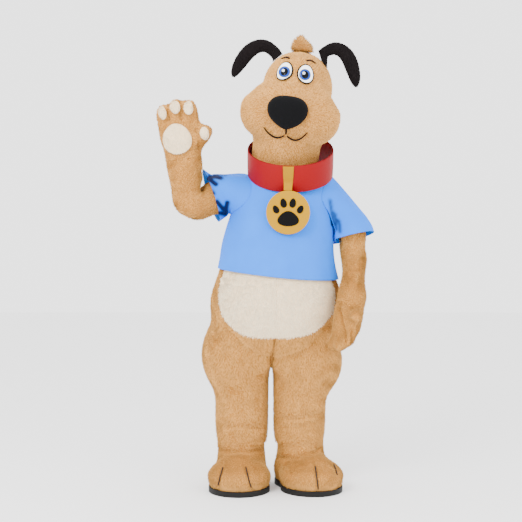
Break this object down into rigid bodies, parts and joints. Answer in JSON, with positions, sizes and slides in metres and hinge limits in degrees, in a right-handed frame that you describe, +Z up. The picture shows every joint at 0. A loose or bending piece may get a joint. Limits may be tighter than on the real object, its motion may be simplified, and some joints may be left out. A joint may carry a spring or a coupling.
{
  "type": "dog mascot costume",
  "caption": "Hollow full-body dog mascot costume for a wearer: tan plush suit, mitts, boots and foam head, short-sleeved blue shirt, wide red collar with a round tag.",
  "frame": {"origin": "on the middle line at shoulder height, 1.340 m above the soles' undersides, where the wearer's shoulders carry the costume", "axes": "+Z up along the standing costume, -Y the way the face and the belly look, +X towards the wearer's left hand"},
  "size_m": [0.9172, 0.5451, 1.901],
  "materials": {
    "tan_plush": "matte",
    "cream_plush": "matte",
    "black_plush": "matte",
    "black_fleece": "matte",
    "blue_jersey": "satin",
    "red_foam": "satin",
    "yellow_felt": "matte",
    "black_felt": "matte",
    "brown_felt": "matte",
    "eye_white": "gloss",
    "sole_rubber": "matte"
  },
  "bodies": {
    "root": {"belly_left": "cream_plush", "belly_right": "cream_plush", "suit_front_left": "tan_plush", "suit_front_right": "tan_plush", "suit_back_left": "tan_plush", "suit_back_right": "tan_plush", "torso_front": "tan_plush", "torso_back": "tan_plush", "fur_sleeve_left": "tan_plush", "fur_sleeve_right": "tan_plush", "shirt_front": "blue_jersey", "shirt_back": "blue_jersey", "shirt_sleeve_left": "blue_jersey", "shirt_sleeve_right": "blue_jersey", "mitt_palm_left": "tan_plush", "mitt_palm_right": "tan_plush", "mitt_back_left": "tan_plush", "mitt_back_right": "tan_plush", "palm_pad_right": "cream_plush", "little_finger_pad_right": "cream_plush", "middle_finger_pad_right": "cream_plush", "first_finger_pad_right": "cream_plush", "thumb_pad_right": "cream_plush", "boot_front_left": "tan_plush", "boot_front_right": "tan_plush", "boot_heel_left": "tan_plush", "boot_heel_right": "tan_plush", "sole_left": "sole_rubber", "sole_right": "sole_rubber", "muzzle_left": "tan_plush", "muzzle_right": "tan_plush", "forehead": "tan_plush", "head_back_left": "tan_plush", "head_back_right": "tan_plush", "eye_rim_left": "black_felt", "eye_rim_right": "black_felt", "eye_left": "eye_white", "eye_right": "eye_white", "pupil_left": "black_felt", "pupil_right": "black_felt", "brow_left": "brown_felt", "brow_right": "brown_felt", "nose": "black_fleece", "mouth_middle": "black_felt", "mouth_left": "black_felt", "mouth_right": "black_felt", "ear_left": "black_plush", "ear_right": "black_plush", "crown_tuft": "tan_plush", "collar": "red_foam", "strap": "yellow_felt", "tag": "yellow_felt", "tag_pad": "black_felt", "tag_toe_1": "black_felt", "tag_toe_2": "black_felt", "tag_toe_3": "black_felt", "tag_toe_4": "black_felt"}
  },
  "joints": []
}
